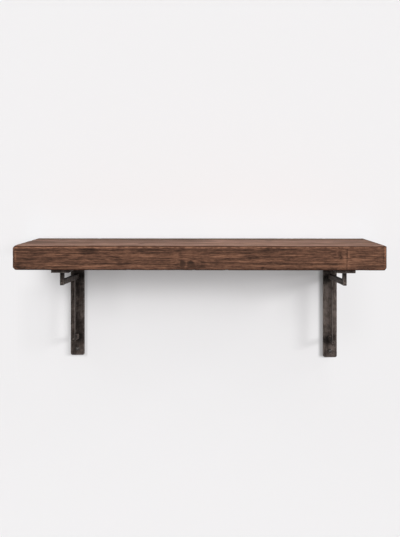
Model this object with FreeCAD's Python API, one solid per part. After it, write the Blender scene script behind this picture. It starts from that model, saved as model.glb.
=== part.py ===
import FreeCAD, Part
import math
import os

# Bracket wall shelf: one thick wood board on two forged iron brackets that are screwed to a wall.
# The origin is the middle of the board's back face, on the wall.
# +X is right, -Y is out of the wall, +Z is up.
# All sizes are in millimetres.

# Board
PLANK_LENGTH = 914.0
PLANK_DEPTH = 254.0
PLANK_THICKNESS = 59.5
PLANK_EDGE_RADIUS = 4.0

# Distance of each bracket's centre line from its end of the board
LEFT_BRACKET_INSET = 113.0
RIGHT_BRACKET_INSET = 94.0

# Flat plate under the board, from the wall to a little behind the board's front face
TOP_PLATE_WIDTH = 45.5
TOP_PLATE_THICKNESS = 9.5
TOP_PLATE_SETBACK = 24.0

# Flat plate against the wall, whose tail hangs below the lower return
WALL_PLATE_WIDTH = 38.0
WALL_PLATE_THICKNESS = 7.0
WALL_PLATE_TAIL = 46.0
WALL_PLATE_CORNER_RADIUS = 5.0
PLATE_EDGE_RADIUS = 1.2

# Tab on the wall plate's top end, in a notch of the top plate
TAB_WIDTH = 16.0
TAB_CLEARANCE = 0.1

# Forged bar of the post, arm, upright and return
BAR_WIDTH = 9.5
BAR_DEPTH = 13.5
BAR_EDGE_RADIUS = 1.5

# Post: its front face lies behind the board's front face, and its foot hangs below the board
POST_SETBACK = 43.0
POST_DROP = 43.0

# Arm and return fall towards the wall
ARM_FALL = 10.0
RETURN_FALL = 5.0

# Upright: distance of its front face from the wall, and its length below the arm on each side
UPRIGHT_STANDOFF = 65.0
LEFT_UPRIGHT_LENGTH = 166.0
RIGHT_UPRIGHT_LENGTH = 170.5

# Round tenons that join the bars to each other and to the plates
TENON_RADIUS = 3.0
TENON_CLEARANCE = 0.1

# Wall screws, the lower one above the wall plate's end
WALL_SCREW_HEAD_RADIUS = 5.8
WALL_SCREW_HEAD_HEIGHT = 3.2
WALL_SCREW_NECK_RADIUS = 2.7
WALL_SCREW_THREAD_RADIUS = 2.4
WALL_SCREW_LENGTH = 50.0
WALL_SCREW_RISE = 17.5

# Shelf screws, in two rows of two through the top plate into the board
SHELF_SCREW_HEAD_RADIUS = 4.5
SHELF_SCREW_HEAD_HEIGHT = 2.6
SHELF_SCREW_NECK_RADIUS = 2.3
SHELF_SCREW_THREAD_RADIUS = 2.0
SHELF_SCREW_LENGTH = 36.0
SHELF_SCREW_EDGE_DISTANCE = 8.75
SHELF_SCREW_FRONT_ROW = 35.0
SHELF_SCREW_BACK_ROW = 60.0

# Fits and small features of all screws
SCREW_TIP_LENGTH = 6.0
SCREW_TIP_RADIUS = 0.4
SCREW_SLOT_WIDTH = 1.4
SCREW_SLOT_DEPTH = 1.2
SCREW_HOLE_CLEARANCE = 0.3
PILOT_CLEARANCE = 0.1
PILOT_END_GAP = 0.5

# Directions, a full turn in degrees, and how far from parallel two directions may be
UP = FreeCAD.Vector(0, 0, 1)
TO_WALL = FreeCAD.Vector(0, 1, 0)
FROM_WALL = FreeCAD.Vector(0, -1, 0)
FULL_TURN = 360
PARALLEL_TOLERANCE = 1e-6

# Places that several pieces share
LEFT_BRACKET_X = LEFT_BRACKET_INSET - PLANK_LENGTH / 2
RIGHT_BRACKET_X = PLANK_LENGTH / 2 - RIGHT_BRACKET_INSET
UNDERSIDE = -PLANK_THICKNESS / 2
TOP_PLATE_UNDERSIDE = UNDERSIDE - TOP_PLATE_THICKNESS
TOP_PLATE_FRONT = -(PLANK_DEPTH - TOP_PLATE_SETBACK)
WALL_PLATE_FRONT = -WALL_PLATE_THICKNESS
POST_FRONT = -(PLANK_DEPTH - POST_SETBACK)
POST_BACK = POST_FRONT + BAR_DEPTH
POST_FOOT = UNDERSIDE - POST_DROP
ARM_WALL_END = POST_FOOT - ARM_FALL
UPRIGHT_FRONT = -UPRIGHT_STANDOFF
UPRIGHT_BACK = UPRIGHT_FRONT + BAR_DEPTH
HALF_BAR = BAR_DEPTH / 2


def block(x_range, y_range, z_range):
    """Box between the given limits."""
    corner = FreeCAD.Vector(x_range[0], y_range[0], z_range[0])
    return Part.makeBox(
        x_range[1] - x_range[0], y_range[1] - y_range[0], z_range[1] - z_range[0], corner
    )


def centred(middle, width):
    """Limits of a width about its middle."""
    return (middle - width / 2, middle + width / 2)


def bar(centre_x, outline):
    """Bar of the forged section's width, from its outline of (y, z) corners as seen from the side."""
    left = centre_x - BAR_WIDTH / 2
    points = [FreeCAD.Vector(left, y, z) for y, z in outline]
    face = Part.Face(Part.makePolygon(points + points[:1]))
    return face.extrude(FreeCAD.Vector(BAR_WIDTH, 0, 0))


def is_along(edge, direction):
    """True where a straight edge runs along a direction."""
    tangent = edge.tangentAt(edge.FirstParameter)
    return tangent.cross(direction).Length < PARALLEL_TOLERANCE * direction.Length


def eased(solid, radius, chosen):
    """Solid with the chosen edges rounded."""
    return solid.makeFillet(radius, [edge for edge in solid.Edges if chosen(edge)])


def pin(start, direction, length, clearance=0.0):
    """Round tenon, or with a clearance the hole that it goes into."""
    return Part.makeCylinder(TENON_RADIUS + clearance, length, start, direction)


def screw(seat, drive, head_radius, head_height, neck_radius, neck_length, thread_radius, length):
    """Slotted dome-headed screw with a plain neck and a thinner thread, its head resting on the seat."""
    dome_radius = (head_radius ** 2 + head_height ** 2) / (2 * head_height)
    half_angle = math.asin(head_radius / dome_radius) / 2
    crown = FreeCAD.Vector(0, 0, head_height)
    shoulder = FreeCAD.Vector(
        dome_radius * math.sin(half_angle),
        0,
        head_height - dome_radius * (1 - math.cos(half_angle)),
    )
    corners = [
        FreeCAD.Vector(head_radius, 0, 0),
        FreeCAD.Vector(neck_radius, 0, 0),
        FreeCAD.Vector(neck_radius, 0, -neck_length),
        FreeCAD.Vector(thread_radius, 0, -neck_length),
        FreeCAD.Vector(thread_radius, 0, SCREW_TIP_LENGTH - length),
        FreeCAD.Vector(SCREW_TIP_RADIUS, 0, -length),
        FreeCAD.Vector(0, 0, -length),
        crown,
    ]
    dome = Part.Arc(crown, shoulder, corners[0]).toShape()
    sides = [Part.makeLine(start, end) for start, end in zip(corners, corners[1:])]
    profile = Part.Face(Part.Wire([dome] + sides))
    body = profile.revolve(FreeCAD.Vector(0, 0, 0), UP, FULL_TURN)
    slot = block(
        centred(0, 2 * head_radius),
        centred(0, SCREW_SLOT_WIDTH),
        (head_height - SCREW_SLOT_DEPTH, head_height),
    )
    body = body.cut(slot)
    body.Placement = FreeCAD.Placement(seat, FreeCAD.Rotation(UP, drive.negative()))
    return body


def arm_underside(y):
    """Height of the arm's sloping underside at a distance from the wall."""
    share = (y - POST_BACK) / (WALL_PLATE_FRONT - POST_BACK)
    return POST_FOOT - share * ARM_FALL


def upright_foot(upright_length):
    """Height of the upright's foot."""
    return arm_underside(UPRIGHT_BACK) - upright_length


def wall_screw_heights(upright_length):
    """Heights of the wall screws: one between top plate and arm, one near the plate's end."""
    arm_top = ARM_WALL_END + BAR_DEPTH
    upper = (TOP_PLATE_UNDERSIDE + arm_top) / 2
    lower = upright_foot(upright_length) - RETURN_FALL - WALL_PLATE_TAIL + WALL_SCREW_RISE
    return (upper, lower)


def shelf_screw_places(centre_x):
    """Points on the top plate's underside where the shelf screws' heads rest."""
    reach = TOP_PLATE_WIDTH / 2 - SHELF_SCREW_EDGE_DISTANCE
    rows = (POST_BACK + SHELF_SCREW_FRONT_ROW, -SHELF_SCREW_BACK_ROW)
    return [
        FreeCAD.Vector(centre_x + side * reach, row, TOP_PLATE_UNDERSIDE)
        for row in rows
        for side in (-1, 1)
    ]


def make_plank(bracket_centres):
    """Board with rounded edges and a pilot hole for each shelf screw."""
    board = block(centred(0, PLANK_LENGTH), (-PLANK_DEPTH, 0), centred(0, PLANK_THICKNESS))
    board = eased(board, PLANK_EDGE_RADIUS, lambda edge: True)
    depth = SHELF_SCREW_LENGTH - TOP_PLATE_THICKNESS + PILOT_END_GAP
    for centre_x in bracket_centres:
        for place in shelf_screw_places(centre_x):
            mouth = FreeCAD.Vector(place.x, place.y, UNDERSIDE)
            pilot = Part.makeCylinder(SHELF_SCREW_THREAD_RADIUS + PILOT_CLEARANCE, depth, mouth, UP)
            board = board.cut(pilot)
    return board


def make_top_plate(centre_x):
    """Plate under the board, with holes for its screws and the post, and a notch for the tab."""
    height = (TOP_PLATE_UNDERSIDE, UNDERSIDE)
    plate = block(centred(centre_x, TOP_PLATE_WIDTH), (TOP_PLATE_FRONT, 0), height)
    eased_below = UNDERSIDE - PLATE_EDGE_RADIUS
    plate = eased(
        plate,
        PLATE_EDGE_RADIUS,
        lambda edge: edge.BoundBox.ZMax < eased_below and edge.BoundBox.YMin < WALL_PLATE_FRONT,
    )
    notch_width = TAB_WIDTH + 2 * TAB_CLEARANCE
    plate = plate.cut(
        block(
            centred(centre_x, notch_width),
            (WALL_PLATE_FRONT - TAB_CLEARANCE, 0),
            height,
        )
    )
    post_middle = FreeCAD.Vector(centre_x, POST_FRONT + HALF_BAR, TOP_PLATE_UNDERSIDE)
    plate = plate.cut(pin(post_middle, UP, TOP_PLATE_THICKNESS, TENON_CLEARANCE))
    for place in shelf_screw_places(centre_x):
        hole_radius = SHELF_SCREW_NECK_RADIUS + SCREW_HOLE_CLEARANCE
        plate = plate.cut(Part.makeCylinder(hole_radius, TOP_PLATE_THICKNESS, place, UP))
    return plate


def make_wall_plate(centre_x, upright_length):
    """Plate against the wall, with its tab, two screw holes and the holes for the arm and the return."""
    foot = upright_foot(upright_length)
    end = foot - RETURN_FALL - WALL_PLATE_TAIL
    plate = block(centred(centre_x, WALL_PLATE_WIDTH), (WALL_PLATE_FRONT, 0), (end, TOP_PLATE_UNDERSIDE))
    plate = eased(
        plate,
        WALL_PLATE_CORNER_RADIUS,
        lambda edge: is_along(edge, TO_WALL) and edge.BoundBox.ZMax < foot,
    )
    plate = eased(
        plate,
        PLATE_EDGE_RADIUS,
        lambda edge: edge.BoundBox.YMax < 0 and edge.BoundBox.ZMin < foot,
    )
    plate = plate.fuse(
        block(centred(centre_x, TAB_WIDTH), (WALL_PLATE_FRONT, 0), (TOP_PLATE_UNDERSIDE, UNDERSIDE))
    ).removeSplitter()
    for low in (ARM_WALL_END, foot - RETURN_FALL):
        mouth = FreeCAD.Vector(centre_x, WALL_PLATE_FRONT, low + HALF_BAR)
        plate = plate.cut(pin(mouth, TO_WALL, WALL_PLATE_THICKNESS, TENON_CLEARANCE))
    for height in wall_screw_heights(upright_length):
        mouth = FreeCAD.Vector(centre_x, WALL_PLATE_FRONT, height)
        hole_radius = WALL_SCREW_NECK_RADIUS + SCREW_HOLE_CLEARANCE
        plate = plate.cut(Part.makeCylinder(hole_radius, WALL_PLATE_THICKNESS, mouth, TO_WALL))
    return plate


def make_front_post(centre_x):
    """Short bar below the top plate, with a tenon up into the plate and a hole for the arm's tenon."""
    post = block(centred(centre_x, BAR_WIDTH), (POST_FRONT, POST_BACK), (POST_FOOT, TOP_PLATE_UNDERSIDE))
    eased_below = TOP_PLATE_UNDERSIDE - BAR_EDGE_RADIUS
    post = eased(post, BAR_EDGE_RADIUS, lambda edge: edge.BoundBox.ZMin < eased_below)
    middle = FreeCAD.Vector(centre_x, POST_FRONT + HALF_BAR, TOP_PLATE_UNDERSIDE)
    post = post.fuse(pin(middle, UP, TOP_PLATE_THICKNESS))
    mouth = FreeCAD.Vector(centre_x, POST_BACK, POST_FOOT + HALF_BAR)
    return post.cut(pin(mouth, FROM_WALL, BAR_DEPTH, TENON_CLEARANCE))


def arm_outline():
    """Corners of the arm from the side, its front end at the post and its back end at the wall plate."""
    return [
        (POST_BACK, POST_FOOT),
        (POST_BACK, POST_FOOT + BAR_DEPTH),
        (WALL_PLATE_FRONT, ARM_WALL_END + BAR_DEPTH),
        (WALL_PLATE_FRONT, ARM_WALL_END),
    ]


def make_arm(centre_x):
    """Sloping bar with a tenon at each end and a hole for the upright's tenon."""
    slope = FreeCAD.Vector(0, WALL_PLATE_FRONT - POST_BACK, -ARM_FALL)
    arm = bar(centre_x, arm_outline())
    arm = eased(arm, BAR_EDGE_RADIUS, lambda edge: is_along(edge, slope))
    front = FreeCAD.Vector(centre_x, POST_BACK, POST_FOOT + HALF_BAR)
    back = FreeCAD.Vector(centre_x, WALL_PLATE_FRONT, ARM_WALL_END + HALF_BAR)
    arm = arm.fuse(pin(front, FROM_WALL, BAR_DEPTH))
    arm = arm.fuse(pin(back, TO_WALL, WALL_PLATE_THICKNESS))
    return arm.cut(pin(*upright_tenon_line(centre_x), TENON_CLEARANCE))


def upright_tenon_line(centre_x):
    """Start, direction and length of a line through the upright's middle, from below the arm to above it."""
    start = FreeCAD.Vector(centre_x, UPRIGHT_FRONT + HALF_BAR, ARM_WALL_END)
    return (start, UP, POST_FOOT + BAR_DEPTH - ARM_WALL_END)


def make_upright(centre_x, upright_length):
    """Bar below the arm, with a tenon up through the arm and a hole for the return's tenon."""
    foot = upright_foot(upright_length)
    upright = bar(
        centre_x,
        [
            (UPRIGHT_FRONT, foot),
            (UPRIGHT_FRONT, arm_underside(UPRIGHT_FRONT)),
            (UPRIGHT_BACK, arm_underside(UPRIGHT_BACK)),
            (UPRIGHT_BACK, foot),
        ],
    )
    upright = eased(
        upright, BAR_EDGE_RADIUS, lambda edge: edge.BoundBox.ZMin < foot + BAR_EDGE_RADIUS
    )
    upright = upright.fuse(pin(*upright_tenon_line(centre_x)).common(bar(centre_x, arm_outline())))
    mouth = FreeCAD.Vector(centre_x, UPRIGHT_BACK, foot + HALF_BAR)
    return upright.cut(pin(mouth, FROM_WALL, BAR_DEPTH, TENON_CLEARANCE))


def make_lower_return(centre_x, upright_length):
    """Short sloping bar from the upright's foot to the wall plate, with a tenon at each end."""
    foot = upright_foot(upright_length)
    slope = FreeCAD.Vector(0, WALL_PLATE_FRONT - UPRIGHT_BACK, -RETURN_FALL)
    piece = bar(
        centre_x,
        [
            (UPRIGHT_BACK, foot),
            (UPRIGHT_BACK, foot + BAR_DEPTH),
            (WALL_PLATE_FRONT, foot - RETURN_FALL + BAR_DEPTH),
            (WALL_PLATE_FRONT, foot - RETURN_FALL),
        ],
    )
    piece = eased(piece, BAR_EDGE_RADIUS, lambda edge: is_along(edge, slope))
    front = FreeCAD.Vector(centre_x, UPRIGHT_BACK, foot + HALF_BAR)
    back = FreeCAD.Vector(centre_x, WALL_PLATE_FRONT, foot - RETURN_FALL + HALF_BAR)
    piece = piece.fuse(pin(front, FROM_WALL, BAR_DEPTH))
    return piece.fuse(pin(back, TO_WALL, WALL_PLATE_THICKNESS))


def make_wall_screws(centre_x, upright_length):
    """The two screws that hold a wall plate to the wall, as separate solids."""
    return Part.makeCompound(
        [
            screw(
                FreeCAD.Vector(centre_x, WALL_PLATE_FRONT, height),
                TO_WALL,
                WALL_SCREW_HEAD_RADIUS,
                WALL_SCREW_HEAD_HEIGHT,
                WALL_SCREW_NECK_RADIUS,
                WALL_PLATE_THICKNESS,
                WALL_SCREW_THREAD_RADIUS,
                WALL_SCREW_LENGTH,
            )
            for height in wall_screw_heights(upright_length)
        ]
    )


def make_shelf_screws(centre_x):
    """The screws that hold the board on a top plate, as separate solids."""
    return Part.makeCompound(
        [
            screw(
                place,
                UP,
                SHELF_SCREW_HEAD_RADIUS,
                SHELF_SCREW_HEAD_HEIGHT,
                SHELF_SCREW_NECK_RADIUS,
                TOP_PLATE_THICKNESS,
                SHELF_SCREW_THREAD_RADIUS,
                SHELF_SCREW_LENGTH,
            )
            for place in shelf_screw_places(centre_x)
        ]
    )


def make_bracket(side, centre_x, upright_length):
    """All pieces of one bracket, by node name."""
    return {
        side + "_top_plate": make_top_plate(centre_x),
        side + "_wall_plate": make_wall_plate(centre_x, upright_length),
        side + "_front_post": make_front_post(centre_x),
        side + "_arm": make_arm(centre_x),
        side + "_upright": make_upright(centre_x, upright_length),
        side + "_lower_return": make_lower_return(centre_x, upright_length),
        side + "_wall_screws": make_wall_screws(centre_x, upright_length),
        side + "_shelf_screws": make_shelf_screws(centre_x),
    }


def main():
    pieces = {"plank": make_plank((LEFT_BRACKET_X, RIGHT_BRACKET_X))}
    pieces.update(make_bracket("left", LEFT_BRACKET_X, LEFT_UPRIGHT_LENGTH))
    pieces.update(make_bracket("right", RIGHT_BRACKET_X, RIGHT_UPRIGHT_LENGTH))
    os.makedirs("parts", exist_ok=True)
    for name, shape in pieces.items():
        shape.exportStep("parts/" + name + ".step")
        print(name, len(shape.Solids), shape.isValid(), round(shape.Volume, 1))


main()
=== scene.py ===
from math import copysign, cos, pi, radians, sin

import bpy
import numpy as np
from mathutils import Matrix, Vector, noise


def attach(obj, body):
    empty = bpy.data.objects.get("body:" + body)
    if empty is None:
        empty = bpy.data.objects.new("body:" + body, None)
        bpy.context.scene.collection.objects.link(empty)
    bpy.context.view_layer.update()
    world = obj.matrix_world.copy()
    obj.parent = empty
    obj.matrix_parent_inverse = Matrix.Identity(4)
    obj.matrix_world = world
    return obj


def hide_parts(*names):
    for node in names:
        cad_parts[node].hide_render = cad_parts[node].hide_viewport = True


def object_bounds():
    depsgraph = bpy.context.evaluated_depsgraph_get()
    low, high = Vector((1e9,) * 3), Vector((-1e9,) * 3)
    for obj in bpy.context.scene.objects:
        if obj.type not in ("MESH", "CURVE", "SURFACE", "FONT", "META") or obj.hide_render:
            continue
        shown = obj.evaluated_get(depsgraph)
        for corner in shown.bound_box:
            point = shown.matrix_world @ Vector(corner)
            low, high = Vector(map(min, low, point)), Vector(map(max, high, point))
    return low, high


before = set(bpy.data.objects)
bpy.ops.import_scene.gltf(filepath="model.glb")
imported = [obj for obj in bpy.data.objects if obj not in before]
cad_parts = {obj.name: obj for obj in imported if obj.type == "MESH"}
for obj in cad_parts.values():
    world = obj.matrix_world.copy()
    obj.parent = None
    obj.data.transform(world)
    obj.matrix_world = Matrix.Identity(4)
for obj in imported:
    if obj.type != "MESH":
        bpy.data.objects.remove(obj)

CAD_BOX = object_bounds()
MM = 0.001

# Camera, fitted to the board's edges in a frame of 400 by 537
FRAME_HEIGHT = 537
FOCAL_PIXELS = 674.5
HORIZON_ROW = 187.74
SENSOR = 36.0
CAMERA_PLACE = (0.0212, -1.8946, 0.1716)
CAMERA_YAW = 0.652

# Soft lamps: azimuth to the right of straight ahead, elevation, width, and the light that the wall gets
LAMPS = {
    "front_low": (0.0, 3.0, 10.0, 0.215),
    "front_right": (18.0, 2.5, 10.0, 0.070),
    "front": (0.0, 16.0, 22.0, 0.345),
    "left_wide": (-20.0, 45.0, 70.0, 0.090),
    "right_key": (52.0, 16.0, 15.0, 0.145),
}
# Lamps along the wall for the top and the ends, and one for the back: azimuth, elevation, width and strength
SIDE_LAMPS = {
    "side_right": (90.0, 32.0, 10.0, 0.55),
    "side_left": (-90.0, 34.0, 10.0, 0.46),
    "behind": (180.0, 0.0, 60.0, 0.6),
}
AMBIENT = 0.14

# Stage
WALL_GAP = 0.3 * MM
FLOOR_HEIGHT = -1.35
STAGE_REACH = 9.0
WHITE = (1.0, 1.0, 1.0, 1.0)
BLACK = (0.0, 0.0, 0.0, 1.0)
BACKDROP_COLOUR = (0.876, 0.864, 0.871, 1.0)
# The wall is plain beyond the brackets, where the picture shows no shadow: this fades in between two places
# in X at each end, and between two heights below the board and far below it
PLAIN_RIGHT = (0.347, 0.379)
PLAIN_LEFT = (-0.358, -0.518)
PLAIN_BELOW = (0.03, -0.03)
PLAIN_FOOT = (-0.62, -0.36)
# Cooler paint on the wall above the board, which throws warm light on it
COOL_COLOUR = (0.886, 0.891, 0.907, 1.0)
COOL_FROM = (0.0, 0.03)
COOL_ABOVE = (0.045, 0.16)
COOL_ENDS = (0.53, 0.44)
# Soft shade on the wall beside the wall plates: four places in X where it starts, is full, fades and ends,
# its depth, and the heights between which it starts below and ends above
WALL_SHADE = [
    ((0.3275, 0.3395, 0.352, 0.366), 0.46, (-0.307, -0.296), (-0.034, -0.030)),
    ((-0.389, -0.368, -0.352, -0.340), 0.15, (-0.307, -0.296), (-0.034, -0.030)),
    ((-0.348, -0.336, -0.3215, -0.314), 0.19, (-0.307, -0.296), (-0.034, -0.030)),
    ((0.352, 0.366, 0.395, 0.510), 0.055, (-0.330, -0.180), (-0.034, -0.030)),
    ((-0.535, -0.475, -0.455, -0.415), 0.04, (-0.330, -0.250), (-0.130, -0.090)),
    ((0.190, 0.275, 0.352, 0.366), 0.075, (-0.240, -0.130), (-0.034, -0.030)),
    ((-0.348, -0.336, -0.265, -0.190), 0.06, (-0.240, -0.130), (-0.034, -0.030)),
]

# Board, in metres
BOARD_LOW = np.array([-0.457, -0.254, -0.02975])
BOARD_HIGH = np.array([0.457, 0.0, 0.02975])
UNDERSIDE = BOARD_LOW[2]
BOARD_EDGE = 3.8 * MM
EDGE_LIMITS = (2.2 * MM, 7.0 * MM)
# Radii of the worn corners at the board's front, at its left and right end: seen from above, and in the front
# view below and above
BOARD_CORNERS = {-1: (9.5 * MM, 8.5 * MM, 8.0 * MM), 1: (7.0 * MM, 8.5 * MM, 3.0 * MM)}
CORNER_DEPTH = 18.0 * MM
# Radius of the crisper arris above the right end, where it begins along X and Z, and over what way
CRISP_EDGE = 1.3 * MM
CRISP_FROM = (0.444, 0.014)
CRISP_FADE = 8.0 * MM
NICK_REACH = 7.0 * MM
# Steps of the board's grid along X, Y and Z, and stretches of X with finer lines
BOARD_STEPS = (2.4 * MM, 5.0 * MM, 1.3 * MM)
FINE_STEP = 1.1 * MM
FINE_STRETCHES = ((0.328, 0.372), (0.440, 0.453))

# Knots: a point of its axis, the axis, radius, reach of the grain that bends round it along and across, how
# dark its lower half is, and how strong it is
KNOTS = [
    ((-0.0197, -0.254, -0.0165), (0.10, 1.0, -0.25), 0.0092, 0.034, 0.012, 0.42, 0.95),
    ((-0.0396, -0.254, -0.0140), (-0.15, 1.0, -0.90), 0.0068, 0.020, 0.010, 0.55, 0.72),
    ((0.1850, -0.088, 0.02975), (0.15, 0.20, 1.0), 0.0100, 0.050, 0.018, 0.20, 0.85),
    ((-0.1480, -0.176, 0.02975), (-0.10, 0.35, 1.0), 0.0075, 0.040, 0.015, 0.30, 0.75),
    ((-0.3900, -0.060, -0.02975), (0.20, 0.30, 1.0), 0.0090, 0.045, 0.016, 0.25, 0.85),
]

# Grain lines, stains, saw marks and a line of painted shade on the front, in millimetres: middle in X and Z,
# half length, half height, and how much paler or darker
MARKS = [
    (0.0, 19.0, 480.0, 3.5, -0.09),
    (0.0, 5.6, 480.0, 3.0, 0.07),
    (0.0, -12.0, 480.0, 1.5, -0.10),
    (0.0, -17.5, 480.0, 1.7, 0.08),
    # The dark line along the bottom, at -28, is painted shade on the lower round-over
    (0.0, -28.0, 480.0, 2.2, -0.26),
    (-40.1, -15.2, 5.0, 5.0, -0.35),
    (-422.0, -14.0, 28.1, 1.9, -0.22),
    (-279.0, -13.0, 58.6, 1.5, -0.22),
    (-171.6, -12.9, 58.5, 1.7, -0.30),
    (-364.5, 8.8, 66.0, 1.2, 0.22),
    (-272.9, -4.5, 15.9, 2.2, 0.22),
    (-252.1, -19.1, 31.7, 1.9, 0.28),
    (-404.9, -19.3, 30.6, 1.9, 0.15),
    (-441.6, -19.4, 8.6, 5.4, -0.28),
    (-330.0, 0.0, 140.0, 60.0, -0.04),
    (-271.0, 19.5, 21.0, 4.0, -0.12),
    (-296.0, 27.5, 8.0, 2.0, 0.30),
    (-249.7, 26.0, 5.0, 2.5, 0.35),
    (-111.9, 13.9, 67.0, 1.5, -0.18),
    (-86.3, -1.1, 31.7, 1.5, -0.22),
    (-142.4, 6.6, 29.3, 2.9, 0.10),
    (-45.0, 13.0, 4.5, 5.0, -0.10),
    (-42.5, 5.0, 4.0, 5.5, -0.13),
    (-44.5, -4.0, 5.0, 5.0, -0.13),
    (-57.1, -1.8, 7.3, 8.5, 0.15),
    (-27.9, 11.6, 7.3, 12.2, 0.08),
    (200.5, 21.6, 46.1, 1.7, -0.28),
    (96.1, 5.7, 12.1, 3.6, 0.14),
    (132.6, 1.3, 19.4, 1.2, -0.20),
    (150.8, -2.8, 13.4, 1.9, 0.25),
    (155.0, -24.0, 4.0, 4.5, -0.28),
    (196.9, -11.2, 42.5, 1.7, -0.22),
    (221.1, 3.4, 8.5, 2.4, -0.22),
    (64.5, -11.4, 60.8, 1.5, -0.14),
    (381.0, -1.3, 13.3, 2.2, 0.20),
    (402.8, 6.0, 15.7, 1.2, -0.25),
    (419.7, -7.3, 18.1, 1.2, -0.22),
    (418.5, -20.6, 36.3, 3.9, -0.22),
    (447.5, 1.2, 1.5, 11.0, -0.24),
    (451.4, 17.0, 1.5, 12.2, 0.45),
    (-448.9, 2.6, 2.0, 10.9, 0.45),
    (353.2, 1.1, 4.8, 12.2, 0.16),
    (352.0, 21.0, 7.0, 3.0, 0.16),
    (359.7, 4.0, 1.6, 30.0, -0.30),
    (364.0, 4.0, 1.8, 26.0, 0.22),
    (344.2, 4.5, 4.5, 6.0, -0.36),
    (341.5, 7.0, 9.0, 7.5, -0.12),
    (335.5, 13.2, 3.0, 8.5, 0.12),
]
# Marks that slant, with their rise as the last number
SLANTED_MARKS = [
    (-271.7, 16.0, 22.0, 11.0, -0.17, -3.0),
    (-274.1, 9.5, 11.0, 5.0, -0.14, -3.0),
    (-205.8, 2.3, 17.1, 1.5, -0.24, -8.5),
    (-215.5, -5.7, 14.6, 2.4, 0.16, -9.7),
]
# Half lengths below which a mark was left by the saw, if it lies within this X, or is a round spot
SAWN_HALF = 2.0
SAWN_WITHIN = 440.0
SPOT_HALF = 10.0
MARK_REACH = 8.0 * MM

# Growth rings: place of the pith in Y and Z and its fall along X, how far it wanders, the distance between
# rings, and the length and depth of the waves that make this distance uneven
PITH = (-0.105, -0.205)
PITH_FALL = 0.020
PITH_WANDER = 16.0 * MM
RING_STEP = 5.2 * MM
RING_WAVES = (37.0 * MM, 2.8 * MM)
# Distance between saw marks on the front, and places in X of the band where they are strong
TOOTH_STEP = 5.8 * MM
SAWN_BAND = (0.331, 0.337, 0.360, 0.364)
# Layers of noise in the wood: scale along X, Y and Z, detail, roughness. The grain's bend round the knots
GRAIN_LAYERS = {
    "fibre": ((90.0, 900.0, 900.0), 3.0, 0.6),
    "fine": ((29.0, 460.0, 460.0), 3.0, 0.62),
    "grit": ((130.0, 380.0, 380.0), 2.0, 0.6),
    "streak": ((7.0, 240.0, 240.0), 3.0, 0.6),
    "band": ((1.6, 280.0, 280.0), 2.0, 0.5),
    "stain": ((4.5, 34.0, 42.0), 4.0, 0.6),
}
PLACE_LAYERS = {
    "patch": ((9.0, 14.0, 20.0), 3.0, 0.6),
    "rubbed": ((3.2, 22.0, 22.0), 4.0, 0.68),
    "spots": ((13.0, 32.0, 32.0), 3.0, 0.6),
    "broken": ((60.0, 150.0, 150.0), 3.0, 0.65),
    "sawn": ((6.0, 5.0, 9.0), 2.0, 0.5),
    "hatch": ((90.0, 90.0, 330.0), 2.0, 0.6),
}
# Tone of each side of the wood, and what share the layers have in it
FRONT_TONE = 0.54
FRONT_SHARES = dict(fibre=0.6, fine=1.1, grit=0.5, streak=0.6, band=0.5, stain=0.35, patch=0.3)
TOP_SHARES = dict(spots=0.6, fine=0.30, streak=0.30, band=0.22)
END_TONE = 0.56
END_SHARES = dict(fine=0.35, patch=0.6)
# Colours that follow the tone, from dark to pale
FRONT_RAMP = [
    (0.06, (0.023, 0.0138, 0.0104)),
    (0.32, (0.068, 0.0346, 0.0234)),
    (0.54, (0.130, 0.0636, 0.0410)),
    (0.74, (0.202, 0.0972, 0.0594)),
    (0.97, (0.308, 0.1520, 0.0930)),
]
# The top's colours are paler than the front's, partly a painted sheen of grazing light
TOP_RAMP = [
    (0.22, (0.050, 0.026, 0.018)),
    (0.46, (0.183, 0.099, 0.067)),
    (0.60, (0.281, 0.158, 0.110)),
    (0.78, (0.415, 0.243, 0.176)),
]
END_RAMP = [(0.15, (0.026, 0.014, 0.010)), (0.5, (0.082, 0.040, 0.026)), (0.8, (0.150, 0.073, 0.046))]
IRON_RAMP = [
    (0.30, (0.0112, 0.0088, 0.0078)),
    (0.44, (0.0325, 0.0255, 0.0224)),
    (0.54, (0.0660, 0.0522, 0.0462)),
    (0.70, (0.1400, 0.1125, 0.1000)),
]
SCREW_RAMP = [(0.32, (0.014, 0.012, 0.010)), (0.55, (0.036, 0.031, 0.028)), (0.75, (0.10, 0.09, 0.08))]
SAWN_COLOUR = (0.230, 0.112, 0.068, 1.0)
CRACK_COLOUR = (0.012, 0.007, 0.005, 1.0)
KNOT_COLOURS = ((0.058, 0.030, 0.020, 1.0), (0.145, 0.070, 0.047, 1.0))
KNOT_RING_COLOUR = (0.034, 0.017, 0.011, 1.0)
KNOT_RIM_COLOUR = (0.026, 0.016, 0.012, 1.0)
WORN_COLOUR = (0.372, 0.178, 0.108, 1.0)
EDGE_LINE_COLOUR = (0.054, 0.024, 0.016, 1.0)
RUST_COLOUR = (0.060, 0.034, 0.022, 1.0)
BARE_IRON_COLOUR = (0.260, 0.225, 0.203, 1.0)
SOOT_AND_SHADE_COLOUR = (0.0060, 0.0048, 0.0042, 1.0)
SPECK_COLOUR = (0.022, 0.016, 0.012, 1.0)

# Iron bracket pieces
BRACKETS = {"left": (-0.344, 166.0 * MM), "right": (0.363, 170.5 * MM)}
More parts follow.
